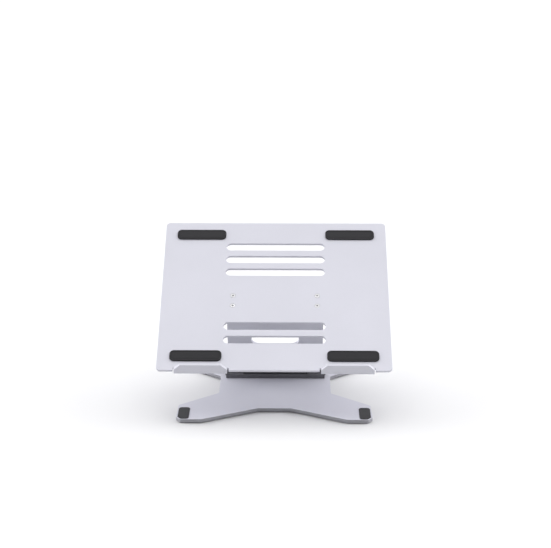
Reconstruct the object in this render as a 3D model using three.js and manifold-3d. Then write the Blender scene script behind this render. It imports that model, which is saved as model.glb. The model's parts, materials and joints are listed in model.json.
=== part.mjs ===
// Folding laptop stand: an X-shaped base, a wide arm on a friction hinge, and a tilting tray with two hooks.
// Millimetres, +Z up, the front of the stand faces -Y. The origin is on the desk, under the stand's centre.
// Every piece of the real stand is one closed solid in its own named mesh.

import * as THREE from "three";
import { mergeVertices } from "three/addons/utils/BufferGeometryUtils.js";
import Module from "manifold-3d";

const wasm = await Module();
wasm.setup();

// ---------------------------------------------------------------- driving dimensions

const FIT = 0.25; // gap left between pieces that touch on the real stand
const RUNNING = 0.1; // radial clearance of a pin in its bore
const PAST = 1; // cutters reach this far past the piece they cut

const BASE = {
  thickness: 4,
  footHeight: 1.2, // the silicone feet lift the plate off the desk
  halfWidth: 109.3,
  halfDepth: 109.6,
  waistHalfWidth: 65.2,
  waistHalfLength: 27.8,
  legSlope: THREE.MathUtils.degToRad(41), // inner edge of each leg, from the X axis
  centreFlat: 19, // half length of the straight stretch in the middle of the front edge
  centreSetback: 34, // that stretch lies this far behind the fronts of the legs
  legInnerX: 81.6, // where the front edge of a leg begins
  cornerX: 5,
  cornerY: 7,
  flare: 0.8, // the legs widen this much from their roots to their ends
};

const FOOT = { width: 16, length: 34, corner: 5, x: 96, y: 85 };
const TOP_PAD = { width: 12.8, length: 34, corner: 4, height: 0.6, x: 101.9, y: 91.6, margin: 0.9 };

const HINGE = {
  lowerY: 32, // behind the centre of the base
  radius: 7.5,
  halfWidth: 60,
  armHalfWidth: 37, // half length of the arm's barrels
  slotFloor: 5.3, // from a barrel's axis to the end of the arm's plate in its slot
  washer: 1.2,
  washerRadius: 7.1,
  capFlange: 1.2,
  capPlug: 3,
  capEdge: 0.4,
  counterboreRadius: 5.2,
  counterboreDepth: 10,
  footHalf: 11, // the bracket's foot, before and behind the axis
  footEdge: 5, // thickness of the foot at its outer edge
  flank: THREE.MathUtils.degToRad(-15), // where the foot's slope meets the eye's arc
  barWidth: 3, // the bars that join the bracket's two knuckles
  axisHeight: 8, // from the plate under the bracket to the axis
  screwSpacing: 7.6, // screws before and behind the axis
};

const lowerAxisZ = BASE.footHeight + BASE.thickness + HINGE.axisHeight;

const PIN = {
  radius: 3,
  threadRadius: 2.5,
  headRadius: 4.6,
  head: 3,
  edge: 0.5,
  springRadius: 4.6,
  spring: 1,
  springDish: 0.4,
  nutFlat: 8,
  nut: 4,
};

const SCREW = {
  radius: 1.5,
  headRadius: 3,
  head: 1.7,
  rim: 0.2, // straight edge of the head above its cone
  tip: 0.4, // bevel at the screw's tip
  socketFlat: 2,
  socketDepth: 1.1,
  bite: 3.2,
};

const ARM = {
  thickness: 5,
  halfWidth: 56,
  neck: 10, // the plate is as narrow as its barrels up to here
  shoulder: 21, // and full width from here
  slotLength: 56,
  slotWidth: 20,
};

const TRAY = {
  tilt: THREE.MathUtils.degToRad(31.5),
  frontY: -106.1, // front top edge, from the centre of the base
  frontZ: 62,
  thickness: 3,
  halfWidth: 131,
  depth: 225,
  corner: 5,
  hingeDepth: 102, // hinge axis behind the front edge
  ventLength: 116,
  ventWidth: 11,
  vents: [44, 64, 146, 166, 186], // distance of each vent from the front edge
};

const HOOK = {
  inner: 52,
  outer: 111,
  seat: 1.5, // the inner face stands this far before the tray's edge
  height: 14,
  bend: 1, // inside radius of the bend
  chamferX: 6.8,
  chamferZ: 8,
  reliefWidth: 1.6,
  reliefDepth: 3.5,
};

const HOOK_PAD = { thickness: 1.2, halfLength: 23, height: 9, corner: 2.5, bottom: 1.6 };
const TRAY_PAD = { length: 58, width: 15, corner: 5, height: 1.4, x: 88, front: 20, rear: 205 };

const ROUND = 48; // facets of the barrels
const SMALL_ROUND = 16; // facets of the screws
const CORNER_SEGMENTS = 6; // facets of a rounded corner
const BEND_SEGMENTS = 8; // facets of a bend in the sheet

// ---------------------------------------------------------------- materials

function material(colour, roughness, metalness) {
  return new THREE.MeshStandardMaterial({ color: colour, roughness, metalness });
}

const anodised = () => material(0xc4c4cf, 0.42, 0.9);
const hingeGrey = () => material(0x4b4c50, 0.5, 0.6);
const steel = () => material(0xb8b8b8, 0.3, 1);
const silicone = () => material(0x4a4a4e, 0.8, 0);
const plastic = () => material(0x38383c, 0.6, 0);
const nylon = () => material(0x2c2c2e, 0.5, 0);

// ---------------------------------------------------------------- solids

// A closed geometry as a solid that can be cut and joined.
function solid(geometry) {
  const bare = geometry.clone();
  bare.deleteAttribute("normal");
  bare.deleteAttribute("uv");
  const merged = mergeVertices(bare, 1e-4);
  const mesh = new wasm.Mesh({
    numProp: 3,
    vertProperties: merged.attributes.position.array,
    triVerts: new Uint32Array(merged.index.array),
  });
  return new wasm.Manifold(mesh);
}

function geometryOf(body) {
  const { vertProperties, triVerts } = body.getMesh();
  const geometry = new THREE.BufferGeometry();
  geometry.setAttribute("position", new THREE.BufferAttribute(vertProperties, 3));
  geometry.setIndex(new THREE.BufferAttribute(triVerts, 1));
  geometry.computeVertexNormals();
  return geometry;
}

function piece(name, body, look) {
  const geometry = body.isBufferGeometry ? body : geometryOf(body);
  const mesh = new THREE.Mesh(geometry, look);
  mesh.name = name;
  return mesh;
}

// A flat plate from z = 0 up to its thickness.
function plate(shape, thickness) {
  const options = { depth: thickness, bevelEnabled: false, curveSegments: CORNER_SEGMENTS };
  return new THREE.ExtrudeGeometry(shape, options);
}

function polygon(points) {
  return new THREE.Shape(points.map(([x, y]) => new THREE.Vector2(x, y)));
}

function roundedRectangle(width, height, radius) {
  const x = width / 2;
  const y = height / 2;
  const shape = new THREE.Shape();
  shape.moveTo(x - radius, -y);
  shape.absarc(x - radius, -y + radius, radius, -Math.PI / 2, 0);
  shape.absarc(x - radius, y - radius, radius, 0, Math.PI / 2);
  shape.absarc(-x + radius, y - radius, radius, Math.PI / 2, Math.PI);
  shape.absarc(-x + radius, -y + radius, radius, Math.PI, 1.5 * Math.PI);
  return shape;
}

// The points of a flat outline, moved by y.
function raised(shape, y) {
  return shape.getPoints(CORNER_SEGMENTS).map((point) => point.setY(point.y + y));
}

// A profile drawn in the YZ plane becomes a bar that runs along X, centred on x = 0.
function barAlongX(shape, length, segments) {
  const options = { depth: length, bevelEnabled: false, curveSegments: segments };
  const turn = new THREE.Matrix4().makeBasis(
    new THREE.Vector3(0, 1, 0),
    new THREE.Vector3(0, 0, 1),
    new THREE.Vector3(1, 0, 0),
  );
  return new THREE.ExtrudeGeometry(shape, options).applyMatrix4(turn).translate(-length / 2, 0, 0);
}

function rodAlongX(radius, from, to, segments = ROUND) {
  const length = to - from;
  const rod = new THREE.CylinderGeometry(radius, radius, length, segments);
  return rod.rotateZ(-Math.PI / 2).translate((from + to) / 2, 0, 0);
}

// A profile of [radius, height] points, closed on itself or on the axis, turned about the X axis.
function turnedAboutX(profile, segments = ROUND) {
  const points = profile.map(([r, h]) => new THREE.Vector2(r, h));
  return new THREE.LatheGeometry(points, segments).rotateZ(-Math.PI / 2);
}

function box(width, depth, height) {
  return new THREE.BoxGeometry(width, depth, height);
}

// ---------------------------------------------------------------- base

function baseOutline() {
  const { halfWidth, halfDepth, waistHalfWidth, waistHalfLength } = BASE;
  const legEnd = waistHalfLength + (halfWidth - waistHalfWidth) * Math.tan(BASE.legSlope);
  const quarter = [
    [BASE.centreFlat, -halfDepth + BASE.centreSetback],
    [BASE.legInnerX, -halfDepth],
    [halfWidth + BASE.flare - BASE.cornerX, -halfDepth],
    [halfWidth + BASE.flare, -halfDepth + BASE.cornerY],
    [halfWidth, -legEnd],
    [waistHalfWidth, -waistHalfLength],
  ];
  const rearRight = quarter.map(([x, y]) => [x, -y]).reverse();
  const right = [...quarter, ...rearRight];
  const left = right.map(([x, y]) => [-x, y]).reverse();
  return polygon([...right, ...left]);
}

// The places of the four screws of a hinge's bracket.
function screwPlaces() {
  const x = (HINGE.armHalfWidth + HINGE.washer + HINGE.halfWidth - HINGE.capFlange) / 2;
  const y = HINGE.screwSpacing;
  return {
    left_front: [-x, -y],
    left_rear: [-x, y],
    right_front: [x, -y],
    right_rear: [x, y],
  };
}

// A countersunk screw hole through a plate whose screw heads lie in its z = 0 face.
function screwHole(thickness) {
  const radius = SCREW.radius + FIT;
  const head = SCREW.headRadius + FIT;
  const profile = [
    [0, -PAST],
    [head, -PAST],
    [head, FIT],
    [radius, SCREW.head + FIT],
    [radius, thickness + PAST],
    [0, thickness + PAST],
  ];
  const points = profile.map(([r, h]) => new THREE.Vector2(r, h));
  return new THREE.LatheGeometry(points, SMALL_ROUND).rotateX(Math.PI / 2);
}

// A countersunk socket screw, its head's face at z = 0 and its tip pointing along +Z.
function screw(length) {
  const { radius, headRadius, head, rim, tip } = SCREW;
  const profile = [
    [0, 0],
    [headRadius, 0],
    [headRadius, rim],
    [radius, head],
    [radius, length - tip],
    [radius - tip, length],
    [0, length],
  ];
  const points = profile.map(([r, h]) => new THREE.Vector2(r, h));
  const body = new THREE.LatheGeometry(points, SMALL_ROUND).rotateX(Math.PI / 2);
  const socketRadius = SCREW.socketFlat / Math.sqrt(3);
  const socket = new THREE.CylinderGeometry(socketRadius, socketRadius, 2 * SCREW.socketDepth, 6);
  return solid(body).subtract(solid(socket.rotateX(Math.PI / 2)));
}

function basePlate() {
  let body = solid(plate(baseOutline(), BASE.thickness));
  for (const [x, y] of Object.values(screwPlaces())) {
    body = body.subtract(solid(screwHole(BASE.thickness).translate(x, y + HINGE.lowerY, 0)));
  }
  return body;
}

// A pad on top of a front leg. It keeps a margin to the plate's edge, the cut corner included.
function topPad(side) {
  const { width, length, corner, height, x, y, margin } = TOP_PAD;
  const pad = plate(roundedRectangle(width, length, corner), height).translate(side * x, -y, 0);
  const inset = 1 - margin / BASE.halfDepth;
  const limit = plate(baseOutline(), height).scale(inset, inset, 1);
  return solid(pad).intersect(solid(limit));
}

function base() {
  const group = new THREE.Group();
  const body = piece("base_plate", basePlate(), anodised());
  body.position.z = BASE.footHeight;
  group.add(body);
  for (const [side, sx] of [["left", -1], ["right", 1]]) {
    for (const [end, sy] of [["front", -1], ["rear", 1]]) {
      const outline = roundedRectangle(FOOT.width, FOOT.length, FOOT.corner);
      const foot = piece(`foot_${end}_${side}`, plate(outline, BASE.footHeight), silicone());
      foot.position.set(sx * FOOT.x, sy * FOOT.y, 0);
      group.add(foot);
    }
    const pad = piece(`base_top_pad_${side}`, topPad(sx), silicone());
    pad.position.z = BASE.footHeight + BASE.thickness;
    group.add(pad);
  }
  for (const [place, [x, y]] of Object.entries(screwPlaces())) {
    const fastener = piece(`base_screw_${place}`, screw(BASE.thickness + SCREW.bite), steel());
    fastener.position.set(x, y + HINGE.lowerY, BASE.footHeight);
    group.add(fastener);
  }
  return group;
}

// ---------------------------------------------------------------- hinges

// A knuckle of the bracket seen along the axis: a foot that is screwed down, and an eye over it.
function knuckleOutline() {
  const { radius, footHalf, axisHeight, footEdge, flank } = HINGE;
  const shape = new THREE.Shape();
  shape.moveTo(-footHalf, -axisHeight);
  shape.lineTo(footHalf, -axisHeight);
  shape.lineTo(footHalf, -axisHeight + footEdge);
  shape.absarc(0, 0, radius, flank, Math.PI - flank);
  shape.lineTo(-footHalf, -axisHeight + footEdge);
  return shape;
}

// A bracket: a knuckle on each side of the arm's barrel, and two bars that join their feet.
function bracket() {
  const { footHalf, footEdge, barWidth, axisHeight, counterboreRadius, counterboreDepth } = HINGE;
  const inner = HINGE.armHalfWidth + HINGE.washer;
  const outer = HINGE.halfWidth - HINGE.capFlange;
  const block = barAlongX(knuckleOutline(), outer - inner, ROUND / 2);
  const bore = rodAlongX(PIN.radius + RUNNING, inner - PAST, outer + PAST);
  const counterbore = rodAlongX(counterboreRadius, outer - counterboreDepth, outer + PAST);
  let knuckle = solid(block.translate((inner + outer) / 2, 0, 0));
  knuckle = knuckle.subtract(solid(bore)).subtract(solid(counterbore));
  let body = knuckle.add(knuckle.mirror([1, 0, 0]));
  for (const side of [-1, 1]) {
    const bar = box(2 * (inner + PAST), barWidth, footEdge);
    bar.translate(0, side * (footHalf - barWidth / 2), footEdge / 2 - axisHeight);
    body = body.add(solid(bar));
  }
  const holeRadius = SCREW.radius + FIT;
  const holeDepth = SCREW.bite + FIT;
  for (const [x, y] of Object.values(screwPlaces())) {
    const hole = new THREE.CylinderGeometry(holeRadius, holeRadius, 2 * holeDepth, SMALL_ROUND);
    body = body.subtract(solid(hole.rotateX(Math.PI / 2).translate(x, y, -axisHeight)));
  }
  return body;
}

function hingePin() {
  const floor = HINGE.halfWidth - HINGE.capFlange - HINGE.counterboreDepth;
  const start = -floor - PIN.head;
  const end = floor + PIN.spring + PIN.nut + 3 * FIT;
  const shoulder = PIN.radius - PIN.threadRadius;
  return turnedAboutX([
    [0, start],
    [PIN.headRadius - PIN.edge, start],
    [PIN.headRadius, start + PIN.edge],
    [PIN.headRadius, -floor - FIT],
    [PIN.radius, -floor - FIT],
    [PIN.radius, floor - shoulder],
    [PIN.threadRadius, floor],
    [PIN.threadRadius, end],
    [0, end],
  ]);
}

function ring(inner, outer, from, to) {
  return turnedAboutX([
    [inner, from],
    [outer, from],
    [outer, to],
    [inner, to],
    [inner, from],
  ]);
}

// A cone-shaped spring washer that keeps the hinge tight.
function discSpring(from) {
  const dish = PIN.springDish;
  const thickness = PIN.spring - dish;
  const inner = PIN.threadRadius + RUNNING;
  return turnedAboutX([
    [inner, from + dish],
    [PIN.springRadius, from],
    [PIN.springRadius, from + thickness],
    [inner, from + dish + thickness],
    [inner, from + dish],
  ]);
}

function nut(from) {
  const cornerRadius = PIN.nutFlat / Math.sqrt(3);
  const hexagon = rodAlongX(cornerRadius, from, from + PIN.nut, 6);
  const bore = rodAlongX(PIN.threadRadius + RUNNING, from - PAST, from + PIN.nut + PAST);
  return solid(hexagon).subtract(solid(bore));
}

// A moulded plug that closes the eye of a knuckle.
function endCap() {
  const face = HINGE.halfWidth;
  const shoulder = face - HINGE.capFlange + RUNNING;
  const plug = HINGE.counterboreRadius - RUNNING;
  const edge = HINGE.capEdge;
  return turnedAboutX([
    [0, shoulder - HINGE.capPlug],
    [plug - edge, shoulder - HINGE.capPlug],
    [plug, shoulder - HINGE.capPlug + edge],
    [plug, shoulder],
    [HINGE.radius, shoulder],
    [HINGE.radius, face - edge],
    [HINGE.radius - edge, face],
    [0, face],
  ]);
}

// One whole hinge about the X axis, without the arm's barrel. The bracket's foot points down.
function hinge(name) {
  const group = new THREE.Group();
  const floor = HINGE.halfWidth - HINGE.capFlange - HINGE.counterboreDepth;
  const springStart = floor + FIT;
  const nutStart = springStart + PIN.spring + FIT;
  group.add(piece(`${name}_pin`, hingePin(), steel()));
  group.add(piece(`${name}_disc_spring`, discSpring(springStart), steel()));
  group.add(piece(`${name}_nut`, nut(nutStart), steel()));
  group.add(piece(`${name}_bracket`, bracket(), hingeGrey()));
  for (const [side, sx] of [["left", -1], ["right", 1]]) {
    const from = HINGE.armHalfWidth + RUNNING;
    const to = HINGE.armHalfWidth + HINGE.washer - RUNNING;
    const washer = ring(PIN.radius + RUNNING, HINGE.washerRadius, from, to);
    const cap = endCap();
    if (sx < 0) {
      washer.rotateZ(Math.PI);
      cap.rotateZ(Math.PI);
    }
    group.add(piece(`${name}_friction_washer_${side}`, washer, nylon()));
    group.add(piece(`${name}_end_cap_${side}`, cap, plastic()));
  }
  return group;
}

// ---------------------------------------------------------------- arm

// The arm runs from the lower axis to the upper one, in the YZ plane.
const upperAxisDrop = TRAY.thickness + FIT + HINGE.axisHeight; // below the tray's top
const upperAxis = new THREE.Vector2(TRAY.hingeDepth, -upperAxisDrop)
  .rotateAround(new THREE.Vector2(), TRAY.tilt)
  .add(new THREE.Vector2(TRAY.frontY, TRAY.frontZ));
const armVector = upperAxis.clone().sub(new THREE.Vector2(HINGE.lowerY, lowerAxisZ));
const armLength = armVector.length();
const armLean = Math.atan2(-armVector.x, armVector.y); // from upright, towards the front

// Drawn along +Z from the lower axis at z = 0 to the upper axis, with its faces in front and behind.
function armOutline() {
  const { halfWidth, neck, shoulder } = ARM;
  const { armHalfWidth, slotFloor } = HINGE;
  const right = [
    [armHalfWidth, slotFloor],
    [armHalfWidth, neck],
    [halfWidth, shoulder],
    [halfWidth, armLength - shoulder],
    [armHalfWidth, armLength - neck],
    [armHalfWidth, armLength - slotFloor],
  ];
  const left = right.map(([x, z]) => [-x, z]).reverse();
  const shape = polygon([...right, ...left]);
  const slot = roundedRectangle(ARM.slotLength, ARM.slotWidth, ARM.slotWidth / 2 - 0.01);
  shape.holes.push(new THREE.Path(raised(slot, armLength / 2)));
  return shape;
}

// A barrel turns on the hinge pin. The end of the arm's plate is pressed into its slot, open towards +Z.
function barrel() {
  const { armHalfWidth, radius, slotFloor } = HINGE;
  const rod = rodAlongX(radius, -armHalfWidth, armHalfWidth);
  const bore = rodAlongX(PIN.radius + RUNNING, -armHalfWidth - PAST, armHalfWidth + PAST);
  const slot = box(2 * (armHalfWidth + PAST), ARM.thickness + 2 * FIT, radius);
  slot.translate(0, 0, slotFloor - FIT + radius / 2);
  return geometryOf(solid(rod).subtract(solid(bore)).subtract(solid(slot)));
}

function arm() {
  const group = new THREE.Group();
  const panel = plate(armOutline(), ARM.thickness).rotateX(Math.PI / 2).translate(0, ARM.thickness / 2, 0);
  const upperBarrel = barrel().rotateX(Math.PI).translate(0, 0, armLength);
  group.add(piece("arm", panel, anodised()));
  group.add(piece("base_hinge_barrel", barrel(), hingeGrey()));
  group.add(piece("tray_hinge_barrel", upperBarrel, hingeGrey()));
  return group;
}

// ---------------------------------------------------------------- tray

// The tray's own frame: y runs up the slope from the front edge, z is square to the plate, its top is z = 0.
function trayOutline() {
  const { halfWidth, depth, corner, vents, ventLength, ventWidth } = TRAY;
  const shape = new THREE.Shape(raised(roundedRectangle(2 * halfWidth, depth, corner), depth / 2));
  for (const y of vents) {
    const vent = roundedRectangle(ventLength, ventWidth, ventWidth / 2 - 0.01);
    shape.holes.push(new THREE.Path(raised(vent, y)));
  }
  return shape;
}

// A hook is the tray's own sheet, bent up at the front edge. Its profile is drawn in y and z.
function hookProfile() {
  const { seat, height, bend } = HOOK;
  const { thickness } = TRAY;
  const overlap = 3;
  const centre = [-seat + bend, bend];
  const shape = new THREE.Shape();
  shape.moveTo(overlap, 0);
  shape.absarc(centre[0], centre[1], bend, 1.5 * Math.PI, Math.PI, true);
  shape.lineTo(-seat, height);
  shape.lineTo(-seat - thickness, height);
  shape.absarc(centre[0], centre[1], bend + thickness, Math.PI, 1.5 * Math.PI, false);
  shape.lineTo(overlap, -thickness);
  return shape;
}

function hook(side) {
  const { inner, outer, seat, height, chamferX, chamferZ } = HOOK;
  const middle = (side * (inner + outer)) / 2;
  const halfLength = (outer - inner) / 2;
  let body = solid(barAlongX(hookProfile(), 2 * halfLength, BEND_SEGMENTS));
  for (const end of [-1, 1]) {
    const corner = polygon([
      [end * halfLength, height - chamferZ],
      [end * (halfLength + PAST), height - chamferZ],
      [end * (halfLength + PAST), height + PAST],
      [end * (halfLength - chamferX), height + PAST],
      [end * (halfLength - chamferX), height],
    ]);
    const cutter = plate(corner, 2 * height).rotateX(Math.PI / 2).translate(0, height - seat, 0);
    body = body.subtract(solid(cutter));
  }
  return body.translate([middle, 0, 0]);
}

function trayPlate() {
  let body = solid(plate(trayOutline(), TRAY.thickness).translate(0, 0, -TRAY.thickness));
  for (const side of [-1, 1]) {
    for (const x of [HOOK.inner - HOOK.reliefWidth / 2, HOOK.outer + HOOK.reliefWidth / 2]) {
      const relief = box(HOOK.reliefWidth, 2 * HOOK.reliefDepth, 3 * TRAY.thickness);
      body = body.subtract(solid(relief.translate(side * x, 0, 0)));
    }
    body = body.add(hook(side));
  }
  for (const [x, y] of Object.values(screwPlaces())) {
    const hole = screwHole(TRAY.thickness).rotateX(Math.PI).translate(x, TRAY.hingeDepth + y, 0);
    body = body.subtract(solid(hole));
  }
  return piece("tray", body, anodised());
}

function hookPad(side) {
  const { thickness, halfLength, height, corner, bottom } = HOOK_PAD;
  const outline = roundedRectangle(2 * halfLength, height, corner);
  const pad = plate(outline, thickness).rotateX(Math.PI / 2);
  const x = (side * (HOOK.inner + HOOK.outer)) / 2;
  return pad.translate(x, -HOOK.seat + FIT + thickness, bottom + height / 2);
}

function tray() {
  const group = new THREE.Group();
  group.add(trayPlate());
  for (const [side, sx] of [["left", -1], ["right", 1]]) {
    group.add(piece(`hook_pad_${side}`, hookPad(sx), silicone()));
    for (const end of ["front", "rear"]) {
      const outline = roundedRectangle(TRAY_PAD.length, TRAY_PAD.width, TRAY_PAD.corner);
      const pad = piece(`tray_pad_${end}_${side}`, plate(outline, TRAY_PAD.height), silicone());
      pad.position.set(sx * TRAY_PAD.x, TRAY_PAD[end], FIT);
      group.add(pad);
    }
  }
  for (const [place, [x, y]] of Object.entries(screwPlaces())) {
    const fastener = piece(`tray_screw_${place}`, screw(TRAY.thickness + SCREW.bite), steel());
    fastener.rotation.x = Math.PI;
    fastener.position.set(x, TRAY.hingeDepth + y, 0);
    group.add(fastener);
  }
  const upperHinge = hinge("tray_hinge");
  upperHinge.rotation.x = Math.PI;
  upperHinge.position.set(0, TRAY.hingeDepth, -upperAxisDrop);
  group.add(upperHinge);
  return group;
}

// ---------------------------------------------------------------- assembly

const stand = new THREE.Group();
stand.add(base());

const lowerHinge = hinge("base_hinge");
lowerHinge.position.set(0, HINGE.lowerY, lowerAxisZ);
stand.add(lowerHinge);

const armGroup = arm();
armGroup.position.set(0, HINGE.lowerY, lowerAxisZ);
armGroup.rotation.x = armLean;
stand.add(armGroup);

const trayGroup = tray();
trayGroup.position.set(0, TRAY.frontY, TRAY.frontZ);
trayGroup.rotation.x = TRAY.tilt;
stand.add(trayGroup);

// The footprint is centred on the origin.
const extent = new THREE.Box3().setFromObject(stand, true);
stand.position.y = -(extent.min.y + extent.max.y) / 2;

export default stand;
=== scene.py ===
"""The looks of the folding laptop stand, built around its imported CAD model.
Metres, +Z up, and the stand's front faces -Y."""

import json
import math

import bmesh
import bpy
from mathutils import Matrix, Vector


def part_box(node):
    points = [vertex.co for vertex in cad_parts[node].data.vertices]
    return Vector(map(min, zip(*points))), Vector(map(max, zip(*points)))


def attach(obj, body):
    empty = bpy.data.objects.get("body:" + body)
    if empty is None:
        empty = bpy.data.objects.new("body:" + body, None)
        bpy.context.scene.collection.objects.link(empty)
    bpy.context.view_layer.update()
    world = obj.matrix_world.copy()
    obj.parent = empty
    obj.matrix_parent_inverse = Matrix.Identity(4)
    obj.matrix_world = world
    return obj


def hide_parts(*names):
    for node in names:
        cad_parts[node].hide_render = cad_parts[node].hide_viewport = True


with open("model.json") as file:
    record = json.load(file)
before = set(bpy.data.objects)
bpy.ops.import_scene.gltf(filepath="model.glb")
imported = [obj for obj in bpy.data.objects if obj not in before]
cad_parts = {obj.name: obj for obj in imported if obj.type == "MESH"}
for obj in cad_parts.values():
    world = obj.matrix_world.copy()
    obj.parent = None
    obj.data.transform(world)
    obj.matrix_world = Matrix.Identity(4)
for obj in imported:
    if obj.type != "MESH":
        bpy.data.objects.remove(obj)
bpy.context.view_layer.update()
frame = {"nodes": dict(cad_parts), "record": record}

MM = 0.001
RECORD = frame["record"]
SLOTS = {row["node"]: row["material_slot"] for row in RECORD["subparts"]}
BODIES = {node: body for body, nodes in RECORD["behaviour"]["bodies"].items() for node in nodes}
MOUNTS = {mount["name"]: mount for mount in RECORD["mounts"]}

UP = Vector((0, 0, 1))
ACROSS = Vector((1, 0, 0))
TRAY_UP = Vector(MOUNTS["laptop_rest"]["axis"]).normalized()  # square to the tray
TRAY_BACK = Vector(MOUNTS["laptop_stop"]["axis"]).normalized()  # up the tray's slope

# ---------------------------------------------------------------- camera, floor and light

CAMERA_PLACE = (0.019, -1.7282, 0.6612)
CAMERA_PITCH = 16.7  # degrees below the horizon
CAMERA_YAW = 0.615  # degrees towards -X
LENS = 102.2
SENSOR_WIDTH = 36.0
FAR_CLIP = 40.0

FLOOR_SIZE = 16.0
FLOOR_COLOUR = (0.70, 0.70, 0.70, 1.0)

OVERHEAD_PLACE = (0.0, 0.3, 1.6)
OVERHEAD_SIZE = (1.6, 1.4)
OVERHEAD_POWER = 1.0

DARK_ROOM = (0.30, 0.30, 0.31)
BACK_WALL = (1.16, 1.16, 1.22)
CEILING = (1.60, 1.60, 1.61)
SIDE_GLOW = 4.0  # added on the left and the right

# Where one part of the studio gives way to the next, in parts of a direction of length 1.
LEAN = (0.45, 0.9)  # the shares of y and z in how far a direction leans back and up
ROOM_TO_WALL = (0.15, 0.65)  # in the lean
WALL_TO_CEILING = (0.5, 0.95)  # in z
SIDE_RISE = (0.55, 0.95)  # in x, to the left or to the right
SIDE_FRONT = (-0.4, 0.1)  # in y


def make_camera():
    data = bpy.data.cameras.new("camera")
    data.lens = LENS
    data.sensor_width = SENSOR_WIDTH
    data.clip_end = FAR_CLIP
    camera = bpy.data.objects.new("camera", data)
    camera.location = CAMERA_PLACE
    camera.rotation_euler = (math.radians(90 - CAMERA_PITCH), 0.0, math.radians(CAMERA_YAW))
    bpy.context.scene.collection.objects.link(camera)
    bpy.context.scene.camera = camera


def make_overhead_light():
    """A soft light above and a little behind, which points at the stand."""
    data = bpy.data.lights.new("overhead", "AREA")
    data.shape = "RECTANGLE"
    data.size, data.size_y = OVERHEAD_SIZE
    data.energy = OVERHEAD_POWER
    light = bpy.data.objects.new("overhead", data)
    light.location = OVERHEAD_PLACE
    light.rotation_euler = (-Vector(OVERHEAD_PLACE)).to_track_quat("-Z", "Y").to_euler()
    bpy.context.scene.collection.objects.link(light)


SHADE_STOPS = (0.3, 0.7)  # the factors at which a shade is dark and light
NOISE_RANGE = (0.2, 0.8)  # nearly all of a noise's values lie in it


class Nodes:
    """Short calls to add and join shader nodes in one tree."""

    def __init__(self, tree):
        self.tree = tree
        tree.nodes.clear()

    def add(self, kind, values=None, **settings):
        node = self.tree.nodes.new(kind)
        for key, value in settings.items():
            setattr(node, key, value)
        for key, value in (values or {}).items():
            if isinstance(value, bpy.types.NodeSocket):
                self.tree.links.new(value, node.inputs[key])
            else:
                node.inputs[key].default_value = value
        return node

    def math(self, operation, *values):
        return self.add("ShaderNodeMath", dict(enumerate(values)), operation=operation).outputs[0]

    def shade(self, factor, dark, light):
        """A colour that goes from dark to light as the factor rises."""
        node = self.add("ShaderNodeValToRGB", {0: factor})
        for element, position, colour in zip(node.color_ramp.elements, SHADE_STOPS, (dark, light)):
            element.position = position
            element.color = (*colour, 1.0)
        return node.outputs["Color"]

    def span(self, value, source, target=(0.0, 1.0), smooth=True):
        """The value, from the source range, spread over the target range and held inside it."""
        values = {0: value, 1: source[0], 2: source[1], 3: target[0], 4: target[1]}
        kind = "SMOOTHSTEP" if smooth else "LINEAR"
        return self.add("ShaderNodeMapRange", values, interpolation_type=kind).outputs["Result"]

    def noise(self, vector, scale, detail=2.0, roughness=0.5):
        values = {"Vector": vector, "Scale": scale, "Detail": detail, "Roughness": roughness}
        return self.add("ShaderNodeTexNoise", values).outputs["Fac"]

    def uneven(self, noise, low, high):
        """A roughness between low and high that follows the noise."""
        return self.span(noise, NOISE_RANGE, (low, high), smooth=False)

    def mix(self, factor, first, second, blend="MIX"):
        values = {0: factor, 6: first, 7: second}
        return self.add("ShaderNodeMix", values, data_type="RGBA", blend_type=blend).outputs[2]

    def bump(self, height, strength, distance, normal=None):
        values = {"Height": height, "Strength": strength, "Distance": distance}
        if normal is not None:
            values["Normal"] = normal
        return self.add("ShaderNodeBump", values).outputs["Normal"]


def make_world():
    """A soft studio: bright overhead and behind, glowing sides, and a dark room behind the camera."""
    world = bpy.data.worlds.new("studio")
    world.use_nodes = True
    bpy.context.scene.world = world
    n = Nodes(world.node_tree)
    direction = n.add("ShaderNodeTexCoord").outputs["Generated"]
    parts = n.add("ShaderNodeSeparateXYZ", {0: direction})
    x, y, z = parts.outputs
    bright = n.mix(n.span(z, WALL_TO_CEILING), (*BACK_WALL, 1.0), (*CEILING, 1.0))
    back, up = LEAN
    lean = n.math("MULTIPLY_ADD", y, back, n.math("MULTIPLY", z, up))
    sky = n.mix(n.span(lean, ROOM_TO_WALL), (*DARK_ROOM, 1.0), bright)
    side = n.span(n.math("ABSOLUTE", x), SIDE_RISE, (0.0, SIDE_GLOW))
    side = n.math("MULTIPLY", side, n.span(y, SIDE_FRONT))
    background = n.add("ShaderNodeBackground", {"Color": n.mix(1.0, sky, side, blend="ADD")})
    n.add("ShaderNodeOutputWorld", {0: background.outputs[0]})


def make_floor():
    bpy.ops.mesh.primitive_plane_add(size=FLOOR_SIZE, location=(0, 0, 0))
    floor = bpy.context.object
    floor.name = "floor"
    material = bpy.data.materials.new("floor")
    material.use_nodes = True
    n = Nodes(material.node_tree)
    values = {"Base Color": FLOOR_COLOUR, "Roughness": 0.9, "Specular IOR Level": 0.1}
    shader = n.add("ShaderNodeBsdfPrincipled", values)
    n.add("ShaderNodeOutputMaterial", {0: shader.outputs[0]})
    floor.data.materials.append(material)


def make_stage():
    make_camera()
    make_world()
    make_floor()
    make_overhead_light()
    bpy.context.scene.view_settings.view_transform = "Standard"


# ---------------------------------------------------------------- materials


def surface(name, build):
    """A material whose Principled shader build(nodes, position) sets up."""
    material = bpy.data.materials.new(name)
    material.use_nodes = True
    n = Nodes(material.node_tree)
    position = n.add("ShaderNodeTexCoord").outputs["Object"]
    shader = n.add("ShaderNodeBsdfPrincipled", build(n, position))
    n.add("ShaderNodeOutputMaterial", {0: shader.outputs[0]})
    return material


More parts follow.
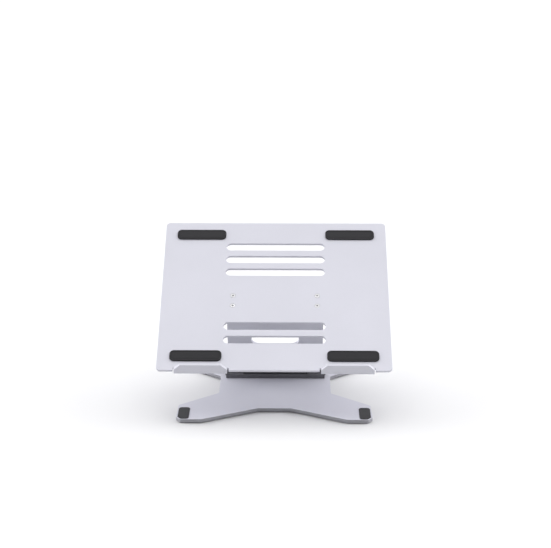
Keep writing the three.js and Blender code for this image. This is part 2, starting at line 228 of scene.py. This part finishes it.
def anodised(dark, light, roughness, metallic):
    """Bead-blasted, anodised aluminium: a fine even grain and a slow drift in tone."""

    def build(n, position):
        drift = n.noise(position, scale=9.0, detail=3.0)
        grain = n.noise(position, scale=2600.0, roughness=0.6)
        mottle = n.noise(position, scale=420.0, detail=3.0, roughness=0.6)
        tone = n.math("MULTIPLY_ADD", mottle, 0.25, n.math("MULTIPLY", drift, 0.75))
        normal = n.bump(grain, strength=0.25, distance=0.04 * MM)
        return {
            "Base Color": n.shade(tone, dark, light),
            "Metallic": metallic,
            "Specular IOR Level": 0.12,
            "Roughness": n.uneven(mottle, roughness - 0.05, roughness + 0.05),
            "Normal": n.bump(mottle, strength=0.12, distance=0.06 * MM, normal=normal),
        }

    return build


def turned_steel(n, position):
    """Zinc-plated steel with the fine rings that turning leaves."""
    rings = n.add(
        "ShaderNodeTexWave",
        {"Vector": position, "Scale": 900.0, "Distortion": 0.6, "Detail": 1.0},
        wave_type="BANDS",
        bands_direction="X",
    ).outputs["Fac"]
    stain = n.noise(position, scale=300.0, detail=3.0)
    return {
        "Base Color": n.shade(stain, (0.46, 0.46, 0.47), (0.60, 0.60, 0.61)),
        "Metallic": 1.0,
        "Roughness": n.uneven(stain, 0.24, 0.38),
        "Normal": n.bump(rings, strength=0.15, distance=0.03 * MM),
    }


def silicone(n, position):
    """Matt moulded silicone with a fine spark-eroded skin and a little dust."""
    grain = n.noise(position, scale=3200.0, roughness=0.7)
    cloud = n.noise(position, scale=60.0, detail=3.0)
    dust = n.noise(position, scale=900.0, roughness=0.8)
    rubber = n.shade(cloud, (0.018, 0.0177, 0.0197), (0.0235, 0.023, 0.0254))
    specks = n.span(dust, (0.68, 0.80), (0.0, 0.35), smooth=False)
    return {
        "Base Color": n.mix(specks, rubber, (0.16, 0.16, 0.16, 1.0)),
        "Roughness": n.uneven(cloud, 0.60, 0.78),
        "Specular IOR Level": 0.2,
        "Sheen Weight": 0.05,
        "Sheen Roughness": 0.5,
        "Normal": n.bump(grain, strength=0.35, distance=0.04 * MM),
    }


def moulded(dark, light, roughness):
    """Moulded plastic with a fine texture."""

    def build(n, position):
        grain = n.noise(position, scale=2400.0, roughness=0.6)
        cloud = n.noise(position, scale=120.0)
        return {
            "Base Color": n.shade(cloud, dark, light),
            "Roughness": n.uneven(cloud, roughness - 0.06, roughness + 0.06),
            "Normal": n.bump(grain, strength=0.3, distance=0.03 * MM),
        }

    return build


def make_materials():
    builds = {
        "silver_aluminium": anodised((0.57, 0.57, 0.62), (0.61, 0.61, 0.664), 0.62, 0.12),
        # Painted shade: a darker copy of the silver for the base plate's side faces, which stands for the
        # shade that falls on them.
        "painted_shade_sides": anodised((0.32, 0.32, 0.345), (0.355, 0.355, 0.383), 0.66, 0.12),
        # Painted shade: the hinge parts are darkened to stand for the shade that falls under the tray.
        "hinge_grey": anodised((0.145, 0.145, 0.153), (0.175, 0.175, 0.185), 0.50, 0.3),
        "steel": turned_steel,
        "silicone": silicone,
        "dark_plastic": moulded((0.040, 0.040, 0.044), (0.052, 0.052, 0.057), 0.48),
        "nylon": moulded((0.022, 0.022, 0.024), (0.030, 0.030, 0.032), 0.42),
    }
    return {name: surface(name, build) for name, build in builds.items()}


# ---------------------------------------------------------------- meshes

SMOOTH_ANGLE = math.radians(35)
WELD = 2e-6  # corners closer than this are one
SLIVER = 0.03 * MM  # edges shorter than this are closed up
FLAT = math.radians(0.6)  # faces that turn less than this are one

# How far a surface turns at an edge, in degrees.
ARC_TURN = (8, 24)  # from facet to facet round an arc
CORNER_TURN = 26  # at least, at a corner of a sheet's outline
EDGE_TURN = 32  # at least, at an edge to be rounded
RIM_TURN = 60  # at least, at a pad's rim

# The least cosine of the angle between two directions.
ALONG = 0.999  # an edge and the axis that it runs along
FACING = 0.99  # a face's normal and the direction that it faces
SHEET_FACE = 0.5  # a sheet face's normal and the sheet's axis, or else the face is a side face, which takes painted shade


def finish_mesh(bm, node, materials, painted_shade_axis=None):
    """The finished mesh as an object that takes the place, body and finish of one CAD node.
    Given an axis, the faces that look along it keep the finish and the others take a darker copy of it,
    painted shade on the side faces."""
    mesh = bpy.data.meshes.new(f"{node}_surface")
    bmesh.ops.recalc_face_normals(bm, faces=bm.faces)
    bm.to_mesh(mesh)
    bm.free()
    for polygon in mesh.polygons:
        polygon.use_smooth = True
    mesh.set_sharp_from_angle(angle=SMOOTH_ANGLE)
    mesh.materials.append(materials[SLOTS[node]])
    if painted_shade_axis:
        # The side faces take painted shade: a darker copy of the finish.
        mesh.materials.append(materials["painted_shade_sides"])
        for polygon in mesh.polygons:
            polygon.material_index = int(abs(polygon.normal.dot(painted_shade_axis)) < SHEET_FACE)
    piece = bpy.data.objects.new(f"{node}_surface", mesh)
    bpy.context.scene.collection.objects.link(piece)
    weighted = piece.modifiers.new("weighted", "WEIGHTED_NORMAL")
    weighted.keep_sharp = True
    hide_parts(node)
    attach(piece, BODIES[node])


def merged_mesh(node, cuts=()):
    """A CAD node's mesh with its triangles merged back into flat faces. Where a face has holes,
    cuts through their middles at the given x divide it into faces without any."""
    bm = bmesh.new()
    bm.from_mesh(frame["nodes"][node].data)
    bmesh.ops.remove_doubles(bm, verts=bm.verts, dist=WELD)
    for x in cuts:
        parts = [*bm.verts, *bm.edges, *bm.faces]
        cut = bmesh.ops.bisect_plane(bm, geom=parts, dist=WELD, plane_co=(x, 0, 0), plane_no=ACROSS)
        for edge in cut["geom_cut"]:
            if isinstance(edge, bmesh.types.BMEdge):
                edge.seam = True
    bmesh.ops.dissolve_limit(bm, angle_limit=FLAT, verts=bm.verts, edges=bm.edges, delimit={"SEAM"})
    bmesh.ops.dissolve_degenerate(bm, dist=SLIVER, edges=bm.edges)
    return bm


def screw_column(node):
    """How far from the middle a hinge's screws stand."""
    low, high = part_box(node)
    return (low[0] + high[0]) / 2


def turn(edge):
    """The angle between an edge's two faces, in degrees."""
    return math.degrees(edge.calc_face_angle(0.0))


def along(edge, axis):
    """Whether an edge runs along an axis."""
    direction = (edge.verts[1].co - edge.verts[0].co).normalized()
    return abs(direction.dot(axis)) > ALONG


def bevel(bm, edges, radius, segments):
    bmesh.ops.bevel(
        bm,
        geom=edges,
        offset=radius,
        offset_type="OFFSET",
        segments=segments,
        profile=0.5,  # round
        affect="EDGES",
        clamp_overlap=False,
        loop_slide=False,
    )


def smooth_arcs(bm, axis, radius):
    """Splits the facets of arcs drawn around the axis into finer ones."""
    least, most = ARC_TURN
    facets = [edge for edge in bm.edges if along(edge, axis) and least < turn(edge) < most]
    bevel(bm, facets, radius, segments=2)


def round_corners(bm, axis, radius, segments, where=lambda place: True):
    """Rounds the corners of a sheet's outline, whose edges run along the axis."""
    corners = [edge for edge in bm.edges if along(edge, axis) and turn(edge) > CORNER_TURN]
    bevel(bm, [edge for edge in corners if where(edge.verts[0].co)], radius, segments)


def break_edges(bm, radius):
    """Rounds every sharp edge."""
    bevel(bm, [edge for edge in bm.edges if turn(edge) > EDGE_TURN], radius, segments=3)


# ---------------------------------------------------------------- plates


def base_plate(materials):
    column = screw_column("base_screw_right_front")
    bm = merged_mesh("base_plate", (-column, column))
    round_corners(bm, UP, radius=1.6 * MM, segments=6)
    break_edges(bm, radius=0.4 * MM)
    finish_mesh(bm, "base_plate", materials, painted_shade_axis=UP)


def tray(materials):
    column = screw_column("tray_screw_right_front")
    bm = merged_mesh("tray", (-column, 0.0, column))
    smooth_arcs(bm, TRAY_UP, radius=0.3 * MM)
    rest = Vector(MOUNTS["laptop_rest"]["pos_m"]).dot(TRAY_UP)

    def on_hook(place):
        return place.dot(TRAY_UP) > rest

    round_corners(bm, TRAY_BACK, radius=0.5 * MM, segments=4, where=on_hook)
    break_edges(bm, radius=0.25 * MM)
    finish_mesh(bm, "tray", materials)


def arm(materials):
    bm = merged_mesh("arm", (0.0,))
    joints = {joint["name"]: Vector(joint["pos_m"]) for joint in RECORD["behaviour"]["joints"]}
    rise = (joints["tray_tilt"] - joints["arm_fold"]).normalized()
    thickness_axis = ACROSS.cross(rise)
    smooth_arcs(bm, thickness_axis, radius=0.5 * MM)
    round_corners(bm, thickness_axis, radius=2.0 * MM, segments=6)
    break_edges(bm, radius=0.4 * MM)
    finish_mesh(bm, "arm", materials)


def rounded_part(node, materials, radius):
    """A CAD node's own shape with its edges rounded."""
    bm = merged_mesh(node)
    break_edges(bm, radius)
    finish_mesh(bm, node, materials)


# ---------------------------------------------------------------- silicone pads and feet

GROOVE_WALL = 0.2 * MM
GROOVE_FLOOR = 0.5 * MM

# A pad's groove: its distance from the rim, and its depth.
HOOK_PAD_GROOVE = (0.6 * MM, 0.2 * MM)
TRAY_PAD_GROOVE = (1.2 * MM, 0.3 * MM)


def inset(bm, faces, steps):
    """Insets the faces step by step: how far inwards, and how far out of the surface."""
    for thickness, depth in steps:
        bmesh.ops.inset_region(bm, faces=faces, thickness=thickness, depth=depth, use_even_offset=True)


def pad(node, materials, top, edge_radius, groove=None):
    """A moulded pad with a rounded upper edge and, where it has one, a shallow groove inside the rim."""

    def faces_top(face):
        return face.normal.dot(top) > FACING

    bm = merged_mesh(node)
    smooth_arcs(bm, top, radius=0.28 * MM)
    sharp = [edge for edge in bm.edges if turn(edge) > RIM_TURN]
    rim = [edge for edge in sharp if any(map(faces_top, edge.link_faces))]
    bevel(bm, rim, edge_radius, segments=4)
    if groove:
        start, depth = groove
        crown = list(filter(faces_top, bm.faces))
        steps = [(start, 0.0), (GROOVE_WALL, -depth), (GROOVE_FLOOR, 0.0), (GROOVE_WALL, depth)]
        inset(bm, crown, steps)
    finish_mesh(bm, node, materials)


def pads(materials):
    for side in ("left", "right"):
        pad(f"base_top_pad_{side}", materials, UP, edge_radius=0.4 * MM)
        pad(f"hook_pad_{side}", materials, TRAY_BACK, edge_radius=0.5 * MM, groove=HOOK_PAD_GROOVE)
        for end in ("front", "rear"):
            name = f"{end}_{side}"
            pad(f"foot_{name}", materials, -UP, edge_radius=0.4 * MM)
            pad(f"tray_pad_{name}", materials, TRAY_UP, edge_radius=0.6 * MM, groove=TRAY_PAD_GROOVE)


# ---------------------------------------------------------------- fasteners and hinge parts

# How far the edges of each hinge part are rounded.
HINGE_EDGES = {
    "bracket": 0.4 * MM,
    "barrel": 0.4 * MM,
    "pin": 0.15 * MM,
    "nut": 0.25 * MM,
    "disc_spring": 0.1 * MM,
}
WASHER_EDGE = 0.15 * MM
CAP_EDGE = 0.25 * MM

# The dish in an end cap, from its rim to its middle: inset, depth.
CAP_DISH = [(1.6 * MM, 0.0), (0.3 * MM, -0.15 * MM), (0.4 * MM, -0.1 * MM)]

CIRCLE = 48  # corners round a screw
SCREW_FACE = 0.01 * MM  # verts this near the end of a screw are in its head's face
SCREW_SHANK = 1.5 * MM  # radius
SCREW_TIP = 0.4 * MM  # the chamfer at the shank's end
MICRON = 6  # digits after the point of a length in metres

# A socket's loops, from its floor up: width across flats, depth.
SOCKET = [(1.9 * MM, 1.1 * MM), (2.0 * MM, 1.0 * MM), (2.0 * MM, 0.12 * MM), (2.2 * MM, 0.0)]

# A countersunk head's loops, from its face to its neck: radius, depth.
SCREW_HEAD = [
    (2.80 * MM, 0.0),
    (2.92 * MM, 0.02 * MM),
    (2.98 * MM, 0.08 * MM),
    (3.00 * MM, 0.20 * MM),
    (1.60 * MM, 1.62 * MM),
    (1.50 * MM, 1.80 * MM),
]


def ring_of(bm, radius, height, matrix):
    angles = [2 * math.pi * i / CIRCLE for i in range(CIRCLE)]
    places = [Vector((radius * math.cos(angle), radius * math.sin(angle), height)) for angle in angles]
    return [bm.verts.new(matrix @ place) for place in places]


def hexagon_of(bm, flat, height, matrix):
    """A hexagon with as many corners as a circle has, spread along its sides."""
    verts = []
    for i in range(CIRCLE):
        angle = 2 * math.pi * i / CIRCLE
        from_middle = (angle % (math.pi / 3)) - math.pi / 6
        radius = flat / 2 / math.cos(from_middle)
        place = Vector((radius * math.cos(angle), radius * math.sin(angle), height))
        verts.append(bm.verts.new(matrix @ place))
    return verts


def join_loops(bm, loops):
    """Walls between neighbouring loops."""
    for first, second in zip(loops, loops[1:]):
        for i in range(CIRCLE):
            j = (i + 1) % CIRCLE
            bm.faces.new((first[i], first[j], second[j], second[i]))


def screw(node, materials, into):
    """A countersunk socket screw in the place of its CAD node, with its tip towards the direction into."""
    verts = [vert.co for vert in frame["nodes"][node].data.vertices]
    start = min(vert.dot(into) for vert in verts)
    end = max(vert.dot(into) for vert in verts)
    rim = {vert.to_tuple(MICRON) for vert in verts if vert.dot(into) < start + SCREW_FACE}
    centre = sum((Vector(place) for place in rim), Vector()) / len(rim)
    matrix = Matrix.Translation(centre) @ into.to_track_quat("Z", "X").to_matrix().to_4x4()
    tip = end - start
    bm = bmesh.new()
    socket = [hexagon_of(bm, flat, depth, matrix) for flat, depth in SOCKET]
    profile = [*SCREW_HEAD, (SCREW_SHANK, tip - SCREW_TIP), (SCREW_SHANK - SCREW_TIP, tip)]
    outside = [ring_of(bm, radius, depth, matrix) for radius, depth in profile]
    loops = [*socket, *outside]
    join_loops(bm, loops)
    bm.faces.new(loops[0])
    bm.faces.new(loops[-1])
    finish_mesh(bm, node, materials)


def end_cap(node, materials, outwards):
    """A moulded cap with a rounded rim and a shallow dish in its outer face."""
    bm = merged_mesh(node)
    break_edges(bm, CAP_EDGE)
    crown = max(bm.faces, key=lambda face: face.normal.dot(outwards) * face.calc_area())
    inset(bm, [crown], CAP_DISH)
    finish_mesh(bm, node, materials)


def hinges(materials):
    for hinge in ("base_hinge", "tray_hinge"):
        for part, radius in HINGE_EDGES.items():
            rounded_part(f"{hinge}_{part}", materials, radius)
        for side, outwards in (("left", -ACROSS), ("right", ACROSS)):
            rounded_part(f"{hinge}_friction_washer_{side}", materials, WASHER_EDGE)
            end_cap(f"{hinge}_end_cap_{side}", materials, outwards)


def screws(materials):
    for name in SLOTS:
        if name.startswith("base_screw"):
            screw(name, materials, UP)
        elif name.startswith("tray_screw"):
            screw(name, materials, -TRAY_UP)


# ---------------------------------------------------------------- assembly

make_stage()
MATERIALS = make_materials()

base_plate(MATERIALS)
tray(MATERIALS)
arm(MATERIALS)
pads(MATERIALS)
hinges(MATERIALS)
screws(MATERIALS)
